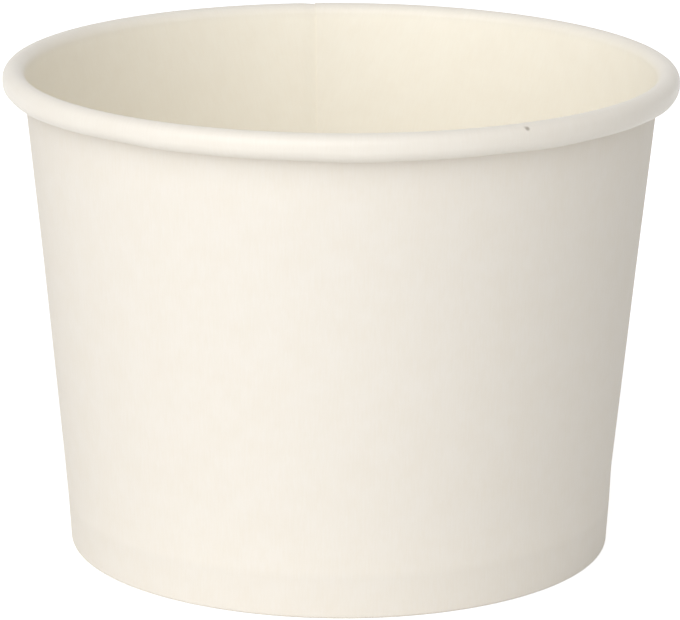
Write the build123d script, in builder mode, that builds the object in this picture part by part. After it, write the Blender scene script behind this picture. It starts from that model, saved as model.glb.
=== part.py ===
from build123d import *
import os
from math import asin, atan2, cos, degrees, hypot, radians, sin

# Paper soup bowl, a round takeaway container folded and rolled from two blanks of board.
# The axis of the bowl is Z, the floor it stands on is z = 0, and the front is towards -Y.
# All sizes are in millimetres.

# Overall form
rim_diameter = 115.0  # outside of the rolled rim, which a lid snaps over
bowl_height = 83.5
hem_diameter = 94.0  # outside of the wall where the hem begins
foot_diameter = 93.1  # outside of the hem, carried down to the floor
hem_height = 7.2  # from the floor up to the line where the hem meets the wall

# Board of the two blanks
wall_board = 0.45
base_board = 0.40
glue_gap = 0.05  # film of melted coating between glued layers

# Rolled rim
curl_width = 4.0
curl_straight = 0.6  # upright stretch on the outside of the roll
tuck_gap = 0.55  # left between the rolled-in edge and the wall
tuck_turn = 140.0  # degrees that the hidden edge goes on turning inside the roll

# Hem, folded in and up behind the skirt of the base
fold_radius = 0.10  # inside of both corners of the fold
flap_gap = 1.0  # from the top edge of the folded-in flap up to the disc
hem_ease = 4.0  # radius of the soft bend between wall and hem

# Base disc, set up inside the hem
bend_radius = 0.30  # inside of the bend where the disc turns down into its skirt
skirt_gap = 0.15  # between the edge of the skirt and the fold below it

# Side seam, where the ends of the wall blank lap and are sealed
seam_azimuth = 95.0  # cut edge of the inner layer, in degrees from +X
lap_width = 8.0
step_width = 3.0  # stretch in which the outer layer climbs over the inner edge
seal_bite = 0.05  # how far the two layers are pressed into each other
rim_dip = 0.15  # notch in the rim just beside the inner layer's cut edge

# Places worked out from the sizes above
half_board = wall_board / 2
curl_radius = curl_width / 2 - half_board
curl_middle = rim_diameter / 2 - curl_width / 2
curl_level = bowl_height - curl_width / 2
disc_bottom = hem_height - base_board / 2

# Unit vectors that run up the hem, and square to it towards the outside
foot_radius = foot_diameter / 2
hem_flare = hem_diameter / 2 - foot_radius
hem_slant = hypot(hem_flare, hem_height)
hem_up = (hem_flare / hem_slant, hem_height / hem_slant)
hem_out = (hem_up[1], -hem_up[0])


def hem_point(depth, height):
    """Point at a height, lying a given depth inside the outer face of the hem."""
    start = (foot_radius - depth * hem_out[0], -depth * hem_out[1])
    climb = (height - start[1]) / hem_up[1]
    return (start[0] + climb * hem_up[0], height)


def radial_plane(azimuth):
    """Plane through the axis, with its own x running outwards and its own y up."""
    turn = radians(azimuth)
    return Plane(
        origin=(0, 0, 0),
        x_dir=(cos(turn), sin(turn), 0),
        z_dir=(sin(turn), -cos(turn), 0),
    )


def touch_point(start, middle, radius):
    """Point where a line from start, keeping left of the middle, touches a circle."""
    across, along = middle[0] - start[0], middle[1] - start[1]
    reach = hypot(across, along)
    heading = atan2(along, across) + asin(radius / reach)
    length = reach * cos(heading - atan2(along, across))
    return (start[0] + length * cos(heading), start[1] + length * sin(heading))


def wall_section(azimuth, spread=0.0, sink=0.0):
    """Cut through the wall blank, from its hidden flap to the tucked edge of the rim.

    Where the blank laps, its outer layer stands off the inner one by the spread. The rim
    is rolled outwards, so there the same layer lies inside the roll, deeper by the sink.
    """
    flap_depth = wall_board + glue_gap + base_board + glue_gap + half_board + spread
    band_depth = half_board - spread
    band_top = hem_point(band_depth, hem_height)

    # The roll is round on top, upright for a little on its outside, and turned under.
    roll_radius = curl_radius - (spread + sink) / 2
    roll_middle = curl_middle + (spread - sink) / 2
    roll_level = curl_level + curl_radius - sink - roll_radius
    roll_side = roll_middle + roll_radius
    shoulder = touch_point(band_top, (roll_middle, roll_level), roll_radius)
    under_radius = curl_radius - sink
    tuck_radius = under_radius - wall_board - tuck_gap

    with BuildSketch(radial_plane(azimuth)) as section:
        with BuildLine():
            FilletPolyline(
                hem_point(flap_depth, disc_bottom - flap_gap),
                hem_point(flap_depth, half_board),
                hem_point(band_depth, half_board),
                band_top,
                shoulder,
                radius=[fold_radius + half_board, fold_radius + half_board, hem_ease],
            )
            top = ThreePointArc(
                shoulder, (roll_middle, roll_level + roll_radius), (roll_side, roll_level)
            )
            drop = Line(top @ 1, (roll_side, curl_level - curl_straight))
            under = JernArc(drop @ 1, (0, -1), under_radius, -90)
            JernArc(under @ 1, (-1, 0), tuck_radius, -tuck_turn)
        trace(line_width=wall_board)
    return section.sketch


# Side wall: one blank, wrapped round, lapped, rolled over at the top and hemmed below
lap_angle = degrees(lap_width / curl_middle)
step_angle = degrees(step_width / curl_middle)
lap_spread = wall_board - seal_bite

with BuildPart() as side_wall:
    revolve(wall_section(seam_azimuth + step_angle), Axis.Z, 360 - step_angle)
    revolve(
        wall_section(seam_azimuth - lap_angle, lap_spread, lap_spread), Axis.Z, lap_angle
    )
    loft(
        [
            wall_section(seam_azimuth, lap_spread, rim_dip),
            wall_section(seam_azimuth + step_angle),
        ],
        ruled=True,
    )

side_wall.part.label = "side_wall"

# Base disc: flat, with its edge turned down into a skirt that the hem grips
skirt_depth = wall_board + glue_gap + base_board / 2

with BuildPart() as base_disc:
    with BuildSketch(radial_plane(0)):
        with BuildLine():
            FilletPolyline(
                (0, hem_height),
                hem_point(skirt_depth, hem_height),
                hem_point(skirt_depth, wall_board + skirt_gap),
                radius=[bend_radius + base_board / 2],
            )
        trace(line_width=base_board)
    revolve(axis=Axis.Z)

base_disc.part.label = "base_disc"

os.makedirs("parts", exist_ok=True)
export_step(side_wall.part, "parts/side_wall.step")
export_step(base_disc.part, "parts/base_disc.step")
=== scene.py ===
"""Paper soup bowl: the visual model, dressed over its fixed CAD frame.

The bowl is a round takeaway container of coated paperboard, made from two blanks. The wall blank
is wrapped to a cone, lapped and sealed along a side seam, rolled outwards to make the rim and
folded inwards and up at the foot. The base disc is set up inside that fold.

Lengths are in metres in the frame of the CAD model: z is up from the floor, the axis of the bowl
is at x = y = 0, and the front is towards -y. An azimuth is an angle round the axis from +x.
"""

import logging
from abc import ABC, abstractmethod
from dataclasses import dataclass
from enum import Enum
from math import asin, atan2, cos, dist, hypot, pi, radians, sin, sqrt, tan
from typing import Any, ClassVar, NamedTuple

import bmesh
import bpy
from mathutils import Matrix, Vector


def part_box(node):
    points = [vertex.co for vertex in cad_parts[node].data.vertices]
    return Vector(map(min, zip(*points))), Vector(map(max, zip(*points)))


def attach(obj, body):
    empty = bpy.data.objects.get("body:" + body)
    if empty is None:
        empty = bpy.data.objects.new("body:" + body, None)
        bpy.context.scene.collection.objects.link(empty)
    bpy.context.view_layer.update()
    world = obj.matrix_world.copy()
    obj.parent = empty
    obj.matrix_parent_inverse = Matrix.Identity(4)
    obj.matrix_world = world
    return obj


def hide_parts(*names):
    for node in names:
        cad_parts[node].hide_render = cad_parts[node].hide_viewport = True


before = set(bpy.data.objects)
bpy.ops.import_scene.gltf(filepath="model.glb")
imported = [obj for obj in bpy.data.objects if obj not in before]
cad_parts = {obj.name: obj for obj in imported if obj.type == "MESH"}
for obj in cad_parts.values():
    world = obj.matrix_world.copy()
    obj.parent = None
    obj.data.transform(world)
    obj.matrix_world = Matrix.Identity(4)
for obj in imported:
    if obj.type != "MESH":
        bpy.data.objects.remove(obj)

log = logging.getLogger("soup_bowl")

MM = 0.001
WHITE = (1.0, 1.0, 1.0, 1.0)

# A Mix node has several sockets of one name, so those that it mixes colours with go by number.
MIX_SHARE, MIX_FROM, MIX_TO, MIX_COLOUR = 0, 6, 7, 2

Pair = tuple[float, float]
Point = tuple[float, float, float]


def linear(colour: str) -> tuple[float, float, float, float]:
    """Turns an sRGB hex colour, such as "F7F3EA", to the linear values that a shader takes.

    Args:
        colour: Six hex digits.

    Returns:
        Linear red, green and blue, and an alpha of 1.
    """
    shares = (int(colour[place:place + 2], 16) / 255 for place in (0, 2, 4))
    red, green, blue = (
        share / 12.92 if share <= 0.04045 else ((share + 0.055) / 1.055) ** 2.4
        for share in shares
    )
    return (red, green, blue, 1.0)


def add_node(
    tree: bpy.types.NodeTree, kind: str, inputs: dict[str | int, Any], **settings: Any
) -> bpy.types.Node:
    """Adds a node, with its settings, the values of its sockets and the links into them.

    Args:
        tree: Node tree that the node goes into.
        kind: Blender's name for the kind of node.
        inputs: Socket names or numbers, each with a value or with the output that feeds it.
        **settings: Properties of the node.

    Returns:
        The new node.
    """
    node = tree.nodes.new(kind)
    for name, value in settings.items():
        setattr(node, name, value)
    for socket, value in inputs.items():
        if isinstance(value, bpy.types.NodeSocket):
            tree.links.new(value, node.inputs[socket])
        else:
            node.inputs[socket].default_value = value
    return node


def ease(share: float) -> float:
    """Eases from 0 to 1 as a share goes from 0 to 1, and stays there outside."""
    inside = min(max(share, 0.0), 1.0)
    return inside * inside * (3 - 2 * inside)


def between(start: Pair, end: Pair, share: float) -> Pair:
    """Finds the point at a share of the way from start to end."""
    return (start[0] + share * (end[0] - start[0]), start[1] + share * (end[1] - start[1]))


class Wave(NamedTuple):
    """One of the waves round the bowl that make up the unevenness of bent board."""

    part: float  # its part in the whole
    turns: int  # how many of it go round
    start: float  # how far on it is at azimuth 0, in radians
    lean: float = 0.0  # how much further on it is at the top of the wall, in radians


def unevenness(waves: tuple[Wave, ...], azimuth: float, share: float = 0.0) -> float:
    """Adds up waves round the bowl.

    Args:
        waves: The waves, whose parts come to about 1.
        azimuth: Where they are wanted.
        share: How far up the wall that is, from 0 to 1.

    Returns:
        The unevenness, between about -1 and 1.
    """
    return sum(
        wave.part * sin(wave.turns * azimuth + wave.start + wave.lean * share) for wave in waves
    )


class BoardSide(Enum):
    """The surfaces of a blank, in the order of the material slots on its mesh."""

    COATED = 0
    BARE = 1
    CUT = 2
    PRESSED = 3


class Station(NamedTuple):
    """A point on the middle line of a board's section."""

    radius: float
    height: float
    across: Pair  # unit direction, as (radius, height), towards the coated side


class SectionLine:
    """Middle line of a bent board, in a plane that holds the axis of the bowl.

    It is drawn run by run from its start. The coated side of the board lies to the left.
    """

    def __init__(self, start: Pair) -> None:
        """Starts a line.

        Args:
            start: First point, as (radius, height).
        """
        self.place = start
        self.stations: list[Station] = []

    def _add(self, place: Pair, across: Pair) -> None:
        """Moves on to a place and keeps it as a station."""
        self.place = place
        self.stations.append(Station(*place, across))

    def straight(self, end: Pair, steps: int) -> None:
        """Runs straight to a point.

        Args:
            end: Point to run to.
            steps: Number of equal steps on the way.
        """
        start, length = self.place, dist(self.place, end)
        across = ((start[1] - end[1]) / length, (end[0] - start[0]) / length)
        for step in range(1 if self.stations else 0, steps + 1):
            self._add(between(start, end, step / steps), across)

    def arc(self, middle: Pair, turn: float, steps: int) -> None:
        """Turns about a middle that lies square to the way the line runs.

        Args:
            middle: Centre of the arc.
            turn: Angle in radians, positive to the left.
            steps: Number of equal steps on the way.
        """
        out = (self.place[0] - middle[0], self.place[1] - middle[1])
        radius, first = hypot(*out), atan2(out[1], out[0])
        side = -1 if turn > 0 else 1
        for step in range(1, steps + 1):
            angle = first + turn * step / steps
            way = (cos(angle), sin(angle))
            place = (middle[0] + radius * way[0], middle[1] + radius * way[1])
            self._add(place, (side * way[0], side * way[1]))

    def corner(self, at: Pair, towards: Pair, radius: float, run: int, steps: int) -> None:
        """Runs straight to a corner and rounds it.

        Args:
            at: The sharp corner.
            towards: Point that the line makes for after the corner.
            radius: Radius of the bend.
            run: Number of steps on the straight run.
            steps: Number of steps round the bend.
        """
        before = Vector((at[0] - self.place[0], at[1] - self.place[1])).normalized()
        after = Vector((towards[0] - at[0], towards[1] - at[1])).normalized()
        turn = atan2(before.x * after.y - before.y * after.x, before.dot(after))
        reach = radius * tan(abs(turn) / 2)
        self.straight((at[0] - reach * before.x, at[1] - reach * before.y), run)
        out = radius if turn > 0 else -radius
        middle = (self.place[0] - out * before.y, self.place[1] + out * before.x)
        self.arc(middle, turn, steps)


@dataclass(frozen=True)
class Hem:
    """The band round the foot, a little steeper than the wall above it."""

    top_radius: float = 47.0 * MM  # outside, where the wall begins
    foot_radius: float = 46.55 * MM  # outside, carried down to the floor
    height: float = 7.2 * MM

    def point(self, depth: float, height: float) -> Pair:
        """Finds a point inside the band.

        Args:
            depth: How far it lies inside the outer face, square to it.
            height: Its height above the floor.

        Returns:
            The point as (radius, height).
        """
        flare = self.top_radius - self.foot_radius
        slant = hypot(flare, self.height)
        foot = (self.foot_radius - depth * self.height / slant, depth * flare / slant)
        return (foot[0] + (height - foot[1]) * flare / self.height, height)


@dataclass(frozen=True)
class SideSeam:
    """Where the two ends of the wall blank lap.

    The outer layer starts at its own cut edge, lies on the inner one for the width of the lap,
    and then steps down beside the inner layer's cut edge to close the ring.
    """

    azimuth: float = radians(95.0)  # cut edge of the inner layer, seen inside the bowl
    lap: float = radians(8.26)
    step: float = radians(3.1)  # stretch in which the outer layer comes down to the inner one
    stand_off: float = 0.40 * MM  # of the outer layer on the inner one
    pressed: float = 0.22 * MM  # taken off the inner layer's hidden face at its cut edge
    press: float = radians(1.8)  # stretch in which the sealing bar thins it
    rim_notch: float = 0.15 * MM  # depth of the rim just beyond the inner cut edge
    notch_climb: float = radians(0.7)  # stretch in which the outer layer comes up to that depth

    def thinning(self, before_edge: float) -> float:
        """Gives what is pressed off the inner layer at an angle before its cut edge."""
        return self.pressed * (1 - ease(before_edge / self.press))

    def spread(self, azimuth: float) -> float:
        """Gives how far the board stands off the plain cone of the wall at an azimuth."""
        past = azimuth - self.azimuth
        return (self.stand_off - self.thinning(-past)) * (1 - ease(past / self.step))

    def sink(self, azimuth: float) -> float:
        """Finds how far the board lies inside the plain roll of the rim.

        Args:
            azimuth: Azimuth of the section.

        Returns:
            The depth, which is nothing away from the lap.
        """
        past = azimuth - self.azimuth
        notch = self.rim_notch * (1 - ease(past / self.step))
        rest = self.stand_off - self.thinning(-past) - self.rim_notch
        return notch + rest * (1 - ease(past / self.notch_climb))


class BentBoard(ABC):
    """A blank of board bent round the axis of the bowl, with its two faces and cut edges."""

    name: ClassVar[str]
    node: ClassVar[str]  # the solid of the CAD model that the board stands for
    slot: ClassVar[str]
    closed: ClassVar[bool]  # whether the board goes right round, with no cut ends

    weld: ClassVar[float] = 0.0001 * MM  # points nearer to each other than this are one
    crisp: ClassVar[float] = radians(35)  # edges that turn more than this are shaded sharp

    @abstractmethod
    def columns(self) -> list[float]:
        """Gives the azimuths at which the board is cut into sections."""

    @abstractmethod
    def section(self, azimuth: float) -> list[Station]:
        """Gives the middle line of the board at an azimuth."""

    @abstractmethod
    def faces(self, azimuth: float) -> Pair:
        """Gives how far the coated and the bare face lie from the middle line at an azimuth."""

    def pressing(self, azimuth: float, spot: int) -> float:
        """Gives how deep a tool is pressed into the bare face, at a station's place in its line."""
        return 0.0

    @abstractmethod
    def on_sheet(self, azimuth: float, length: float, station: Station) -> Pair:
        """Gives where a station lies on the flat blank, in millimetres."""

    @abstractmethod
    def side(self, spot: int, count: int) -> BoardSide:
        """Tells which surface a strip of the mesh belongs to, by its place in the ring."""

    def build(self) -> bpy.types.Object:
        """Builds the mesh of the board as one closed skin.

        Returns:
            The new object, shaded smooth except at its cut edges.
        """
        places: list[Point] = []
        sheet: list[Pair] = []
        columns = self.columns()
        for azimuth in columns:
            ring, flat = self._ring(azimuth)
            places += ring
            sheet += flat
        faces, sides = self._skin(len(columns), len(places) // (2 * len(columns)))
        mesh = bpy.data.meshes.new(self.name)
        mesh.from_pydata(places, [], faces)
        mesh.polygons.foreach_set("material_index", [side.value for side in sides])
        layer = mesh.uv_layers.new(name="flat_blank")
        for loop in mesh.loops:
            layer.uv[loop.index].vector = sheet[loop.vertex_index]
        work = bmesh.new()
        work.from_mesh(mesh)
        bmesh.ops.remove_doubles(work, verts=work.verts, dist=self.weld)
        work.to_mesh(mesh)
        work.free()
        mesh.shade_smooth()
        mesh.set_sharp_from_angle(angle=self.crisp)
        piece = bpy.data.objects.new(self.name, mesh)
        bpy.context.collection.objects.link(piece)
        return piece

    def _ring(self, azimuth: float) -> tuple[list[Point], list[Pair]]:
        """Lays out the skin round one section: out along its coated face and back on its bare one.

        Args:
            azimuth: Azimuth of the section.

        Returns:
            The points round the section, and where each of them lies on the flat blank.
        """
        stations = self.section(azimuth)
        lengths = [0.0]
        for here, after in zip(stations, stations[1:]):
            lengths.append(lengths[-1] + dist(here[:2], after[:2]))
        sheet = [self.on_sheet(azimuth, *pair) for pair in zip(lengths, stations)]
        coated, bare = self.faces(azimuth)
        offsets = [coated for _ in stations]
        offsets += [self.pressing(azimuth, spot) - bare for spot in range(len(stations))][::-1]
        places: list[Point] = []
        for offset, station in zip(offsets, stations + stations[::-1]):
            radius = station.radius + offset * station.across[0]
            height = station.height + offset * station.across[1]
            places.append((radius * cos(azimuth), radius * sin(azimuth), height))
        return places, sheet + sheet[::-1]

    def _skin(self, columns: int, count: int) -> tuple[list[tuple[int, ...]], list[BoardSide]]:
        """Lists the faces between the sections, and the cut ends.

        Args:
            columns: Number of sections.
            count: Number of stations in each.

        Returns:
            The faces as vertex numbers, and the surface that each belongs to.
        """
        ring = 2 * count
        faces: list[tuple[int, ...]] = []
        sides: list[BoardSide] = []
        for column in range(columns if self.closed else columns - 1):
            here, there = column * ring, (column + 1) % columns * ring
            for spot in range(ring):
                onward = (spot + 1) % ring
                faces.append((here + spot, here + onward, there + onward, there + spot))
                sides.append(self.side(spot, count))
        if not self.closed:
            last = (columns - 1) * ring
            for spot in range(count - 1):
                end = (spot, ring - 1 - spot, ring - 2 - spot, spot + 1)
                faces.append(end)
                faces.append(tuple(last + place for place in reversed(end)))
                sides += [BoardSide.CUT, BoardSide.CUT]
        return faces, sides

    def dress(self, piece: bpy.types.Object, finishes: dict[BoardSide, bpy.types.Material]) -> None:
        """Gives a piece its materials, hides the CAD node that it stands for, and attaches the
        piece to the root body.

        Args:
            piece: Object that build made.
            finishes: The material of each surface.
        """
        for side in BoardSide:
            piece.data.materials.append(finishes[side])
        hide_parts(self.node)
        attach(piece, "root")


@dataclass
class WallBlank(BentBoard):
    """The wall: wrapped and lapped, rolled over at the rim and folded in at the foot.

    Its waves give the unevenness that the photograph shows: the rim stands highest at the front
    right, and the lower edge of the roll ripples.
    """

    rim_radius: float
    height: float
    hem: Hem
    seam: SideSeam
    board: float = 0.45 * MM
    base_board: float = 0.40 * MM
    glue: float = 0.05 * MM  # melted coating between the skirt of the base and the board
    curl_width: float = 4.0 * MM
    curl_straight: float = 0.6 * MM  # upright stretch on the outside of the roll
    tuck_gap: float = 0.55 * MM  # room between the roll and the hidden edge inside it
    tuck_turn: float = radians(140.0)  # how far that edge turns on inside the roll
    fold_radius: float = 0.10 * MM  # inside, where the foot is folded
    flap_gap: float = 1.0 * MM  # from the flap's edge up to the base
    hem_ease: float = 1.5 * MM  # radius of the slight bend at the top of the hem
    neck: float = 0.20 * MM  # how far the wall draws in above the stiff hem
    side_neck: float = 0.16 * MM  # more of that on the right, and less on the left
    neck_climb: float = 0.1  # share of the wall's height in which it draws in
    crease: float = 0.12  # part of it that is drawn in at once, at the hem's top edge
    crease_climb: float = 0.014  # share of the wall's height that the crease takes
    bow: float = 0.05 * MM  # slow unevenness of the wrapped wall
    bow_waves: tuple[Wave, ...] = (
        Wave(0.5, 2, 0.6), Wave(0.3, 3, 2.1, lean=1.0), Wave(0.2, 5, -0.9, lean=2.0),
    )
    rim_waver: float = 0.14 * MM  # unevenness in the depth of the roll
    rim_waves: tuple[Wave, ...] = (Wave(0.6, 2, 0.35), Wave(0.4, 3, 1.3))
    edge_waver: float = 0.16 * MM  # the same along the roll's lower edge
    edge_waves: tuple[Wave, ...] = (
        Wave(0.32, 5, -2.86), Wave(0.38, 11, -1.1), Wave(0.22, 21, 2.15),
    )
    ribs: int = 72  # round the flap, from the knurled wheel that seals the hem
    rib_depth: float = 0.20 * MM
    worn_edge: float = 0.05 * MM  # width of the rounding along the cut ends
    worn_part: float = 0.15  # part of the board's thickness that is gone at their very edge
    column_step: float = radians(1.25)
    fine_step: float = radians(0.15)  # beside the inner cut edge

    name: ClassVar[str] = "wall_blank"
    node: ClassVar[str] = "side_wall"
    slot: ClassVar[str] = "wall_board"
    closed: ClassVar[bool] = False

    flap_steps: ClassVar[int] = 6
    fold_steps: ClassVar[int] = 5
    hem_steps: ClassVar[int] = 6
    ease_steps: ClassVar[int] = 3
    wall_steps: ClassVar[tuple[int, int, int]] = (5, 10, 28)  # to crease, neck and shoulder
    roll_steps: ClassVar[int] = 22
    under_steps: ClassVar[int] = 10
    tuck_steps: ClassVar[int] = 12
    worn_columns: ClassVar[tuple[float, ...]] = (0.0, 0.3, 1.0, 1.5)  # in widths of worn_edge

    def columns(self) -> list[float]:
        """Spaces the sections, close together at the seam and at the cut ends.

        Returns:
            Azimuths from the outer layer's cut edge round to the inner layer's.
        """
        seam = self.seam
        first, last = seam.azimuth - seam.lap, seam.azimuth + 2 * pi
        worn = [width * self.worn_edge / self.rim_radius for width in self.worn_columns]
        fine_start, fine_end = seam.azimuth - seam.press, seam.azimuth + seam.step
        stretches = (
            (first + worn[-1], fine_start, self.column_step),
            (fine_start, fine_end, self.fine_step),
            (fine_end, last - seam.press, self.column_step),
            (last - seam.press, last - worn[-1], self.fine_step),
        )
        azimuths = [first + offset for offset in worn[:-1]]
        for start, end, step in stretches:
            steps = round((end - start) / step)
            azimuths += [start + (end - start) * turn / steps for turn in range(steps)]
        return azimuths + [last - offset for offset in reversed(worn)]

    def section(self, azimuth: float) -> list[Station]:
        """Draws the middle line from the hidden flap, round the foot, to the tucked edge.

        Args:
            azimuth: Azimuth of the section.

        Returns:
            The stations along the line.
        """
        hem, half = self.hem, self.board / 2
        spread, sink = self.seam.spread(azimuth), self.seam.sink(azimuth)
        flap = self.board + self.glue + self.base_board + self.glue + half + spread
        band = half - spread
        flap_top = hem.height - self.base_board / 2 - self.flap_gap

        curl = self.curl_width / 2 - half
        curl_middle = self.rim_radius - self.curl_width / 2
        curl_level = self.height - self.curl_width / 2
        sink += self.rim_waver * (1 + unevenness(self.rim_waves, azimuth)) / 2
        roll = curl - (spread + sink) / 2
        roll_middle = (curl_middle + (spread - sink) / 2, curl_level + curl - sink - roll)
        band_top = hem.point(band, hem.height)
        shoulder = self._touch(band_top, roll_middle, roll)

        line = SectionLine(hem.point(flap, flap_top))
        fold = self.fold_radius + half
        foot, heel = hem.point(flap, half), hem.point(band, half)
        line.corner(foot, heel, fold, run=self.flap_steps, steps=self.fold_steps)
        line.corner(heel, band_top, fold, run=1, steps=self.fold_steps)
        line.corner(band_top, shoulder, self.hem_ease, self.hem_steps, self.ease_steps)
        wall_start = len(line.stations)
        wall_foot = line.place
        for share, steps in zip((self.crease_climb, self.neck_climb, 1.0), self.wall_steps):
            line.straight(between(wall_foot, shoulder, share), steps)
        self._bow_wall(line, wall_start, azimuth)
        line.arc(roll_middle, -self._angle_from(roll_middle, shoulder), self.roll_steps)
        under = curl - sink
        drop = self.curl_straight + self.edge_waver * unevenness(self.edge_waves, azimuth)
        line.straight((line.place[0], curl_level - drop), steps=1)
        line.arc((line.place[0] - under, line.place[1]), -pi / 2, self.under_steps)
        tuck = under - self.board - self.tuck_gap
        line.arc((line.place[0], line.place[1] + tuck), -self.tuck_turn, self.tuck_steps)
        return line.stations

    def _bow_wall(self, line: SectionLine, start: int, azimuth: float) -> None:
        """Bends the straight wall a little out of true, the same way in both layers.

        Args:
            line: The line, drawn as far as the shoulder.
            start: Number of its stations below the wall.
            azimuth: Azimuth of the section.
        """
        rows = line.stations
        bottom, top = rows[start - 1].height, rows[-1].height
        for place in range(start, len(rows)):
            share = (rows[place].height - bottom) / (top - bottom)
            bow = self.bow * sin(pi * share) ** 2 * unevenness(self.bow_waves, azimuth, share)
            side = self.side_neck * cos(azimuth) * (1 - share) ** 2
            drawn = (1 - self.crease) * ease(share / self.neck_climb)
            drawn += self.crease * ease(share / self.crease_climb)
            neck = drawn * (self.neck * ease(2 - 2 * share) + side)
            rows[place] = rows[place]._replace(radius=rows[place].radius + bow - neck)

    def on_rim(self, azimuth: float, turn: float) -> Point:
        """Finds a place on the outside of the roll.

        Args:
            azimuth: Azimuth of the place.
            turn: Angle round the roll, from straight outwards to straight up at a right angle.

        Returns:
            The place.
        """
        roll = self.curl_width / 2
        radius = self.rim_radius - roll + roll * cos(turn)
        height = self.height - roll + roll * sin(turn)
        return (radius * cos(azimuth), radius * sin(azimuth), height)

    @staticmethod
    def _angle_from(middle: Pair, place: Pair) -> float:
        """Gives the angle at which a place is seen from a middle, in radians."""
        return atan2(place[1] - middle[1], place[0] - middle[0])

    @staticmethod
    def _touch(start: Pair, middle: Pair, radius: float) -> Pair:
        """Finds where a line touches a circle.

        Args:
            start: Point that the line comes from, keeping left of the middle.
            middle: Middle of the circle.
            radius: Radius of the circle.

        Returns:
            The point of touch.
        """
        across, along = middle[0] - start[0], middle[1] - start[1]
        reach = hypot(across, along)
        heading = atan2(along, across) + asin(radius / reach)
        length = sqrt(reach * reach - radius * radius)
        return (start[0] + length * cos(heading), start[1] + length * sin(heading))

    def faces(self, azimuth: float) -> Pair:
        """Gives the depths of the faces, rounded off along the two cut ends.

        Args:
            azimuth: Azimuth of the section.

        Returns:
            How far the coated and the bare face lie from the middle line.
        """
        first, last = self.seam.azimuth - self.seam.lap, self.seam.azimuth + 2 * pi
        inset = min(azimuth - first, last - azimuth) * self.rim_radius / self.worn_edge
        worn = 1 - min(inset, 1.0)
        half = self.board / 2 * (1 - self.worn_part * (1 - sqrt(1 - worn * worn)))
        return (half, half - self.seam.thinning(last - azimuth))

    def pressing(self, azimuth: float, spot: int) -> float:
        """Gives the depth of the knurling, which leaves both edges of the flap plain."""
        on_ribs = 0 < spot < self.flap_steps
        return self.rib_depth * (1 - cos(self.ribs * azimuth)) / 2 if on_ribs else 0.0

    @property
    def _slope(self) -> float:
        """Gives the sine of the angle between the wall and the axis."""
        return sin(atan2(self.rim_radius - self.curl_width - self.hem.top_radius, self.height))

    def on_sheet(self, azimuth: float, length: float, station: Station) -> Pair:
        """Finds where a station lies on the flat, ring-shaped blank.

        Args:
            azimuth: Azimuth of the section.
            length: Length of the middle line up to the station.
            station: The station; not used.

        Returns:
            The place on the blank, in millimetres from the middle of its ring.
        """
        middle = self.seam.azimuth + pi - self.seam.lap / 2
        swing = (azimuth - middle) * self._slope
        reach = self.hem.top_radius / self._slope + length
        return (reach * sin(swing) / MM, reach * cos(swing) / MM)

    def blank_line(self, level: float) -> float:
        """Finds the line of the flat blank that stands at a level of the finished wall.

        Args:
            level: Height above the floor.

        Returns:
            How far the line lies from the middle of the blank's ring, in millimetres.
        """
        stations = self.section(self.seam.azimuth + pi)
        reach = self.hem.top_radius / self._slope
        for here, after in zip(stations, stations[1:]):
            if here.height > level:
                break
            reach += dist(here[:2], after[:2])
        return reach / MM

    def side(self, spot: int, count: int) -> BoardSide:
        """Tells the surface of a strip: the bare side of the flap is pressed by the wheel.

        Args:
            spot: Place of the strip in the ring of a section.
            count: Number of stations in the section.

        Returns:
            The surface.
        """
        if spot in (count - 1, 2 * count - 1):
            return BoardSide.CUT
        if spot < count:
            return BoardSide.COATED
        on_flap = spot >= 2 * count - 1 - self.flap_steps
        return BoardSide.PRESSED if on_flap else BoardSide.BARE


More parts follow.
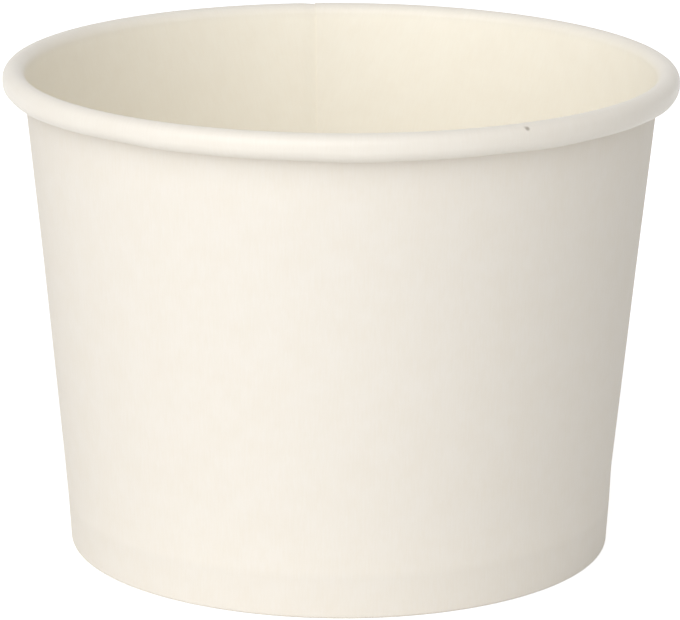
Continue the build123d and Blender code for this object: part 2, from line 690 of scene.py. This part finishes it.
@dataclass
class BaseDisc(BentBoard):
    """The base: a flat disc with its edge turned down into a skirt, inside the hem."""

    hem: Hem
    wall_board: float = 0.45 * MM
    board: float = 0.40 * MM
    glue: float = 0.05 * MM  # melted coating between the skirt and the wall
    bend_radius: float = 0.30 * MM  # inside, where the skirt turns down
    skirt_gap: float = 0.15 * MM  # from the skirt's edge down to the fold of the hem
    dish: float = 0.12 * MM  # how far the middle sags between its sealed edges
    column_count: int = 180

    name: ClassVar[str] = "base_disc_blank"
    node: ClassVar[str] = "base_disc"
    slot: ClassVar[str] = "base_board"
    closed: ClassVar[bool] = True

    flat_steps: ClassVar[int] = 24
    bend_steps: ClassVar[int] = 6
    skirt_steps: ClassVar[int] = 5

    def columns(self) -> list[float]:
        """Gives evenly spaced azimuths right round."""
        return [2 * pi * turn / self.column_count for turn in range(self.column_count)]

    def section(self, azimuth: float) -> list[Station]:
        """Draws the middle line from the centre out, and down the skirt.

        Args:
            azimuth: Azimuth of the section; not used, as the section is the same all round.

        Returns:
            The stations along the line.
        """
        depth = self.wall_board + self.glue + self.board / 2
        rim = self.hem.point(depth, self.hem.height)
        skirt_end = self.hem.point(depth, self.wall_board + self.skirt_gap)
        line = SectionLine((0.0, self.hem.height))
        bend = self.bend_radius + self.board / 2
        line.corner(rim, skirt_end, bend, self.flat_steps, self.bend_steps)
        line.straight(skirt_end, self.skirt_steps)
        return [self._sag(station, rim[0]) for station in line.stations]

    def _sag(self, station: Station, reach: float) -> Station:
        """Lowers a station of the flat part as the middle of the disc sags."""
        share = min(station.radius / reach, 1.0)
        return station._replace(height=station.height - self.dish * (1 - share * share) ** 2)

    def faces(self, azimuth: float) -> Pair:
        """Gives half the thickness for each face, the same all round."""
        return (self.board / 2, self.board / 2)

    def on_sheet(self, azimuth: float, length: float, station: Station) -> Pair:
        """Gives where a station lies on the flat, round blank, in millimetres."""
        return (length * cos(azimuth) / MM, length * sin(azimuth) / MM)

    def side(self, spot: int, count: int) -> BoardSide:
        """Tells which surface a strip belongs to: the coated one lies upwards.

        Args:
            spot: Place of the strip in the ring of a section.
            count: Number of stations in the section.

        Returns:
            The surface.
        """
        if spot in (count - 1, 2 * count - 1):
            return BoardSide.CUT
        return BoardSide.COATED if spot < count else BoardSide.BARE


@dataclass(frozen=True)
class Speck:
    """A small dark spot on the rim, with a fainter tail."""

    place: Point
    tail: Point
    radius: float = 0.42 * MM
    tail_radius: float = 0.28 * MM
    colour: str = "988D7F"
    depth: float = 0.8  # how far the board takes on the fleck's colour
    tail_part: float = 1 / 3  # how strong the tail is beside the fleck
    fade: Pair = (0.3, 1.4)  # where a spot begins to fade and has faded out, in radii


@dataclass(frozen=True)
class SheetTone:
    """A tone that changes along one curved line of the flat wall blank, in millimetres."""

    line: float  # how far the line lies from the middle of the blank's ring
    run: float  # length over which the tone changes
    early: float = 0.3  # part of that length before the line
    inner: str = "FFFFFF"  # tint on the side of the middle, where the foot is
    outer: str = "FFFFFF"  # tint beyond the line, towards the rim


@dataclass(frozen=True)
class Paperboard:
    """Finish of one surface of bleached paperboard.

    The eye sees a warm white with a soft, cloudy unevenness where the pulp settled thicker or
    thinner, and along the grain faint short streaks of fibre. Scales are in millimetres. Clouds,
    waves and the length of the fibres are as on real board. A fibre is only about 0.03 mm wide,
    too fine to show, so the streaks are drawn as bundles, as coarse as they need to be to show.
    """

    name: str
    colour: str
    cloud_colour: str  # where the pulp lies thin
    roughness: float
    cloud: float = 5.0  # size of the cloudy patches
    cloud_span: Pair = (0.7, 1.3)  # noise at which the pulp lies thin and at which it is full
    fibre: Pair = (0.35, 3.0)  # width and length of the fibre streaks
    fibre_relief: float = 0.004
    wave: float = 22.0  # size of the slow waves that damp and wrapping leave
    wave_relief: float = 0.03
    roughness_spread: float = 0.04  # either way, between the streaks
    ior: float = 1.5  # of cellulose and its sizing
    film: float = 0.0  # share of the thin glossy film on top
    film_roughness: float = 0.3
    film_ior: float = 1.51  # of polyethylene

    def material(
        self, tone: SheetTone | None = None, speck: Speck | None = None
    ) -> bpy.types.Material:
        """Makes the node material.

        Args:
            tone: A change of tone along the sheet, if it has one.
            speck: A fleck in the surface, if it has one.

        Returns:
            The new material.
        """
        made = bpy.data.materials.new(self.name)
        made.use_nodes = True
        tree = made.node_tree
        shader = tree.nodes["Principled BSDF"]
        shader.inputs["IOR"].default_value = self.ior
        shader.inputs["Coat Weight"].default_value = self.film
        shader.inputs["Coat Roughness"].default_value = self.film_roughness
        shader.inputs["Coat IOR"].default_value = self.film_ior

        place = add_node(tree, "ShaderNodeTexCoord", {})
        sheet = place.outputs["UV"]
        cloud = add_node(
            tree, "ShaderNodeTexNoise",
            {"Vector": sheet, "Scale": 1 / self.cloud, "Detail": 4.0, "Roughness": 0.6},
            noise_dimensions="2D",
        )
        along = add_node(
            tree, "ShaderNodeMapping",
            {"Vector": sheet, "Scale": (1 / self.fibre[0], 1 / self.fibre[1], 1.0)},
        )
        fibre = add_node(
            tree, "ShaderNodeTexNoise",
            {"Vector": along.outputs[0], "Scale": 1.0, "Detail": 3.0, "Distortion": 0.4},
            noise_dimensions="2D",
        )
        wave = add_node(
            tree, "ShaderNodeTexNoise",
            {"Vector": sheet, "Scale": 1 / self.wave, "Detail": 1.0},
            noise_dimensions="2D",
        )
        pulp = add_node(
            tree, "ShaderNodeMath",
            {0: cloud.outputs["Fac"], 1: fibre.outputs["Fac"]}, operation="ADD",
        )
        share = add_node(
            tree, "ShaderNodeMapRange",
            {
                "Value": pulp.outputs[0],
                "From Min": self.cloud_span[0],
                "From Max": self.cloud_span[1],
            },
        )
        colour = add_node(
            tree, "ShaderNodeMix",
            {
                MIX_SHARE: share.outputs[0],
                MIX_FROM: linear(self.cloud_colour),
                MIX_TO: linear(self.colour),
            },
            data_type="RGBA",
        ).outputs[MIX_COLOUR]
        if tone:
            colour = self._toned(tree, sheet, colour, tone)
        if speck:
            colour = self._flecked(tree, place.outputs["Object"], colour, speck)
        tree.links.new(colour, shader.inputs["Base Color"])

        rough = add_node(
            tree, "ShaderNodeMapRange",
            {
                "Value": fibre.outputs["Fac"],
                "To Min": self.roughness - self.roughness_spread,
                "To Max": self.roughness + self.roughness_spread,
            },
        )
        tree.links.new(rough.outputs[0], shader.inputs["Roughness"])

        grain = add_node(
            tree, "ShaderNodeMath",
            {0: fibre.outputs["Fac"], 1: self.fibre_relief}, operation="MULTIPLY",
        )
        relief = add_node(
            tree, "ShaderNodeMath",
            {0: wave.outputs["Fac"], 1: self.wave_relief, 2: grain.outputs[0]},
            operation="MULTIPLY_ADD",
        )
        bump = add_node(
            tree, "ShaderNodeBump", {"Height": relief.outputs[0], "Distance": MM, "Strength": 1.0}
        )
        tree.links.new(bump.outputs[0], shader.inputs["Normal"])
        return made

    @staticmethod
    def _toned(
        tree: bpy.types.NodeTree,
        sheet: bpy.types.NodeSocket,
        colour: bpy.types.NodeSocket,
        tone: SheetTone,
    ) -> bpy.types.NodeSocket:
        """Tints a colour on each side of a line of the sheet.

        Args:
            tree: Node tree of the material.
            sheet: Place of the shaded point on the flat blank.
            colour: Colour of the board.
            tone: The line and its tints.

        Returns:
            The tinted colour.
        """
        reach = add_node(tree, "ShaderNodeVectorMath", {0: sheet}, operation="LENGTH")
        share = add_node(
            tree, "ShaderNodeMapRange",
            {
                "Value": reach.outputs["Value"],
                "From Min": tone.line - tone.early * tone.run,
                "From Max": tone.line + (1 - tone.early) * tone.run,
            },
            interpolation_type="SMOOTHSTEP",
        )
        tint = add_node(
            tree, "ShaderNodeMix",
            {
                MIX_SHARE: share.outputs[0],
                MIX_FROM: linear(tone.inner),
                MIX_TO: linear(tone.outer),
            },
            data_type="RGBA",
        )
        return add_node(
            tree, "ShaderNodeMix",
            {MIX_SHARE: 1.0, MIX_FROM: colour, MIX_TO: tint.outputs[MIX_COLOUR]},
            data_type="RGBA", blend_type="MULTIPLY",
        ).outputs[MIX_COLOUR]

    @staticmethod
    def _flecked(
        tree: bpy.types.NodeTree,
        place: bpy.types.NodeSocket,
        colour: bpy.types.NodeSocket,
        speck: Speck,
    ) -> bpy.types.NodeSocket:
        """Darkens a colour at the fleck, and less at its tail.

        Args:
            tree: Node tree of the material.
            place: Place of the shaded point.
            colour: Colour of the board.
            speck: The fleck.

        Returns:
            The colour with the fleck in it.
        """
        spots = (
            (speck.place, speck.radius, speck.depth),
            (speck.tail, speck.tail_radius, speck.depth * speck.tail_part),
        )
        for middle, radius, depth in spots:
            away = add_node(
                tree, "ShaderNodeVectorMath", {0: place, 1: middle}, operation="DISTANCE"
            )
            stain = add_node(
                tree, "ShaderNodeMapRange",
                {
                    "Value": away.outputs["Value"],
                    "From Min": speck.fade[0] * radius,
                    "From Max": speck.fade[1] * radius,
                    "To Min": depth,
                    "To Max": 0.0,
                },
                interpolation_type="SMOOTHSTEP",
            )
            colour = add_node(
                tree, "ShaderNodeMix",
                {
                    MIX_SHARE: stain.outputs[0],
                    MIX_FROM: colour,
                    MIX_TO: linear(speck.colour),
                },
                data_type="RGBA",
            ).outputs[MIX_COLOUR]
        return colour


@dataclass(frozen=True)
class Softbox:
    """A square studio lamp, aimed at the middle of the bowl."""

    name: str
    bearing: float  # degrees round from the front, positive to the right
    elevation: float  # degrees above the horizon
    distance: float  # from the middle of the bowl
    width: float
    power: float  # in watts


@dataclass(frozen=True)
class Studio:
    """The stage: a white floor, a pale surround, soft lamps and the camera."""

    floor_reach: float = 3.0  # radius of the round floor
    floor_sides: int = 96
    floor_cover: float = 0.7 * MM  # how far the floor reaches in under the foot
    floor_colour: str = "ECECEC"
    floor_roughness: float = 0.9
    floor_specular: float = 0.2  # low, because matt paint has hardly any gloss
    floor_lift: Pair = (0.60, 0.85)  # white added as the camera sees it, near and far
    lift_reach: Pair = (0.06, 0.35)  # where near ends and far begins, from the axis
    ambient: float = 0.47  # strength of the surround, as light on the bowl
    aim: Point = (0.0, 0.0, 0.042)
    lamps: tuple[Softbox, ...] = (
        Softbox(
            "key_lamp", bearing=-25.0, elevation=31.0, distance=1.25, width=1.3, power=10.95
        ),
    )

    camera_place: Point = (0.0, -0.69130, 0.22342)
    camera_aim: Point = (0.0, 0.0, 0.040126)
    camera_roll: float = radians(-0.3305)
    lens: float = 219.66  # in millimetres, as is the width of the sensor
    sensor: float = 36.0
    clip: Pair = (0.05, 20.0)  # nearest and furthest that the camera sees

    def make_floor(self, foot_radius: float) -> None:
        """Makes the floor, open only under the foot of the bowl, where it can't be seen.

        The opening lets light reach the base from below.

        Args:
            foot_radius: Radius of the foot.
        """
        work = bmesh.new()
        turns = [2 * pi * turn / self.floor_sides for turn in range(self.floor_sides)]
        rings = [
            [work.verts.new((reach * cos(turn), reach * sin(turn), 0.0)) for turn in turns]
            for reach in (foot_radius - self.floor_cover, self.floor_reach)
        ]
        for here in range(len(turns)):
            onward = (here + 1) % len(turns)
            work.faces.new((rings[0][here], rings[1][here], rings[1][onward], rings[0][onward]))
        mesh = bpy.data.meshes.new("floor")
        work.to_mesh(mesh)
        work.free()
        floor = bpy.data.objects.new("floor", mesh)
        bpy.context.collection.objects.link(floor)
        mesh.materials.append(self._floor_paint())

    def _floor_paint(self) -> bpy.types.Material:
        """Makes a matt white paint that hides nothing from a camera below the floor.

        It is lifted to white away from the bowl, and less beside it, to keep the shadow.

        Returns:
            The new material.
        """
        made = bpy.data.materials.new("matt_white_floor_paint")
        made.use_nodes = True
        tree = made.node_tree
        shader = tree.nodes["Principled BSDF"]
        shader.inputs["Base Color"].default_value = linear(self.floor_colour)
        shader.inputs["Roughness"].default_value = self.floor_roughness
        shader.inputs["Specular IOR Level"].default_value = self.floor_specular
        shader.inputs["Emission Color"].default_value = WHITE
        place = add_node(tree, "ShaderNodeTexCoord", {}).outputs["Object"]
        away = add_node(tree, "ShaderNodeVectorMath", {0: place}, operation="LENGTH")
        level = add_node(
            tree, "ShaderNodeMapRange",
            {
                "Value": away.outputs["Value"],
                "From Min": self.lift_reach[0],
                "From Max": self.lift_reach[1],
                "To Min": self.floor_lift[0],
                "To Max": self.floor_lift[1],
            },
            interpolation_type="SMOOTHSTEP",
        )
        lift = add_node(
            tree, "ShaderNodeMath", {0: self._seen(tree), 1: level.outputs[0]},
            operation="MULTIPLY",
        )
        tree.links.new(lift.outputs[0], shader.inputs["Emission Strength"])
        below = add_node(tree, "ShaderNodeNewGeometry", {})
        clear = add_node(tree, "ShaderNodeBsdfTransparent", {})
        either = add_node(
            tree, "ShaderNodeMixShader",
            {0: below.outputs["Backfacing"], 1: shader.outputs[0], 2: clear.outputs[0]},
        )
        tree.links.new(either.outputs[0], tree.nodes["Material Output"].inputs["Surface"])
        return made

    @staticmethod
    def _seen(tree: bpy.types.NodeTree) -> bpy.types.NodeSocket:
        """Tells the rays that the camera sees, straight or in gloss or glass, from the others.

        Args:
            tree: Node tree that the test goes into.

        Returns:
            1 for those rays and 0 for the rest, which carry light.
        """
        path = add_node(tree, "ShaderNodeLightPath", {})
        share = path.outputs["Is Camera Ray"]
        for kind in ("Is Glossy Ray", "Is Transmission Ray"):
            share = add_node(
                tree, "ShaderNodeMath", {0: share, 1: path.outputs[kind]}, operation="MAXIMUM"
            ).outputs[0]
        return share

    def make_world(self) -> None:
        """Surrounds the stage with even light, seen by the camera as plain white."""
        world = bpy.data.worlds.new("pale_surround")
        bpy.context.scene.world = world
        world.use_nodes = True
        tree = world.node_tree
        surround = tree.nodes["Background"]
        surround.inputs["Color"].default_value = WHITE
        surround.inputs["Strength"].default_value = self.ambient
        white = add_node(tree, "ShaderNodeBackground", {"Color": WHITE})
        either = add_node(
            tree, "ShaderNodeMixShader",
            {0: self._seen(tree), 1: surround.outputs[0], 2: white.outputs[0]},
        )
        tree.links.new(either.outputs[0], tree.nodes["World Output"].inputs["Surface"])

    def make_lamps(self) -> None:
        """Hangs the softboxes."""
        for box in self.lamps:
            lamp = bpy.data.lights.new(box.name, "AREA")
            lamp.shape = "SQUARE"
            lamp.size = box.width
            lamp.energy = box.power
            bearing, rise = radians(box.bearing), radians(box.elevation)
            way = Vector((sin(bearing) * cos(rise), -cos(bearing) * cos(rise), sin(rise)))
            hung = bpy.data.objects.new(box.name, lamp)
            hung.location = Vector(self.aim) + box.distance * way
            hung.rotation_mode = "QUATERNION"
            hung.rotation_quaternion = way.to_track_quat("Z", "Y")
            bpy.context.collection.objects.link(hung)

    def make_camera(self) -> None:
        """Sets the camera where the photograph was taken from."""
        lens = bpy.data.cameras.new("camera")
        lens.sensor_fit = "HORIZONTAL"
        lens.sensor_width = self.sensor
        lens.lens = self.lens
        lens.clip_start, lens.clip_end = self.clip
        camera = bpy.data.objects.new("camera", lens)
        back = (Vector(self.camera_place) - Vector(self.camera_aim)).normalized()
        right = Vector((0.0, 0.0, 1.0)).cross(back).normalized()
        level = Matrix((right, back.cross(right), back)).transposed()
        camera.matrix_world = (
            Matrix.Translation(self.camera_place)
            @ (level @ Matrix.Rotation(-self.camera_roll, 3, "Z")).to_4x4()
        )
        bpy.context.collection.objects.link(camera)
        bpy.context.scene.camera = camera


def board_finishes(
    rolled: SheetTone, pressed: SheetTone, fleck: Speck
) -> dict[BoardSide, bpy.types.Material]:
    """Makes the material of each surface of the bleached, film-coated paperboard.

    Args:
        rolled: Where the coated face is rolled over the rim, tinted darker and cooler there as
            painted shade.
        pressed: The line of the sheet below which the bare face is tinted a touch darker, at the
            top of the hem.
        fleck: The one fleck that shows, in the coated face.

    Returns:
        The materials by surface.
    """
    # Film extruded onto the food side: a soft sheen over the fibres, also on the rolled rim.
    coated = Paperboard(
        "film_coated_paperboard", "FEF9EC", "FCF6E8", roughness=0.6,
        fibre_relief=0.002, film=0.5, film_roughness=0.35,
    )
    # Uncoated, calendered outside: quite matt, the fibres a little more open.
    bare = Paperboard("bare_paperboard", "F4EEE4", "F2EBDF", roughness=0.75)
    # Raw die-cut edge: loose fibre ends, rougher and a touch darker, drawn coarse to show at all.
    cut = Paperboard(
        "cut_paperboard_edge", "EEE7DA", "E4DCCC", roughness=0.9, cloud=1.5,
        fibre=(0.15, 0.15), fibre_relief=0.02,
    )
    # Bare board pressed by the knurled wheel that seals the hem: denser, smoother, a touch greyer.
    pressed_flap = Paperboard(
        "pressed_paperboard", "F2ECE2", "EFE8DC", roughness=0.68, fibre_relief=0.002
    )
    return {
        BoardSide.COATED: coated.material(rolled, fleck),
        BoardSide.BARE: bare.material(pressed),
        BoardSide.CUT: cut.material(),
        BoardSide.PRESSED: pressed_flap.material(),
    }


def main() -> None:
    """Builds the bowl and its stage, and logs what it made."""
    logging.basicConfig(level=logging.INFO, format="%(name)s: %(message)s")
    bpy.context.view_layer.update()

    wall_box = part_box("side_wall")
    hem, seam = Hem(), SideSeam()
    wall = WallBlank(rim_radius=wall_box[1].x, height=wall_box[1].z, hem=hem, seam=seam)
    boards: list[BentBoard] = [wall, BaseDisc(hem=hem)]
    fleck = Speck(
        place=wall.on_rim(azimuth=radians(-58.74), turn=radians(46.0)),
        tail=wall.on_rim(azimuth=radians(-59.05), turn=radians(55.0)),
    )
    # Painted shade: the rolled rim is tinted darker and cooler than the inside of the same coated
    # board, standing in for the brighter, warmer light that bounces about inside the bowl.
    roll_level = wall.height - wall.curl_width / 2
    rolled = SheetTone(line=wall.blank_line(roll_level), run=3.5, outer="F3F2F4")
    # The bare board is tinted a touch darker below the hem's top edge, and so is the whole
    # underside of the base.
    pressed = SheetTone(line=wall.blank_line(hem.height), run=1.8, inner="FCFCFC")
    finishes = board_finishes(rolled, pressed, fleck)
    for board in boards:
        piece = board.build()
        board.dress(piece, finishes)
        log.info("%s stands for %s: %d faces", piece.name, board.node, len(piece.data.polygons))

    studio = Studio()
    studio.make_floor(hem.foot_radius)
    studio.make_world()
    studio.make_lamps()
    studio.make_camera()
    bpy.context.scene.view_settings.view_transform = "Standard"
    log.info("stage: floor, surround, %d lamps and the camera", len(studio.lamps))


if __name__ == "__main__":
    main()
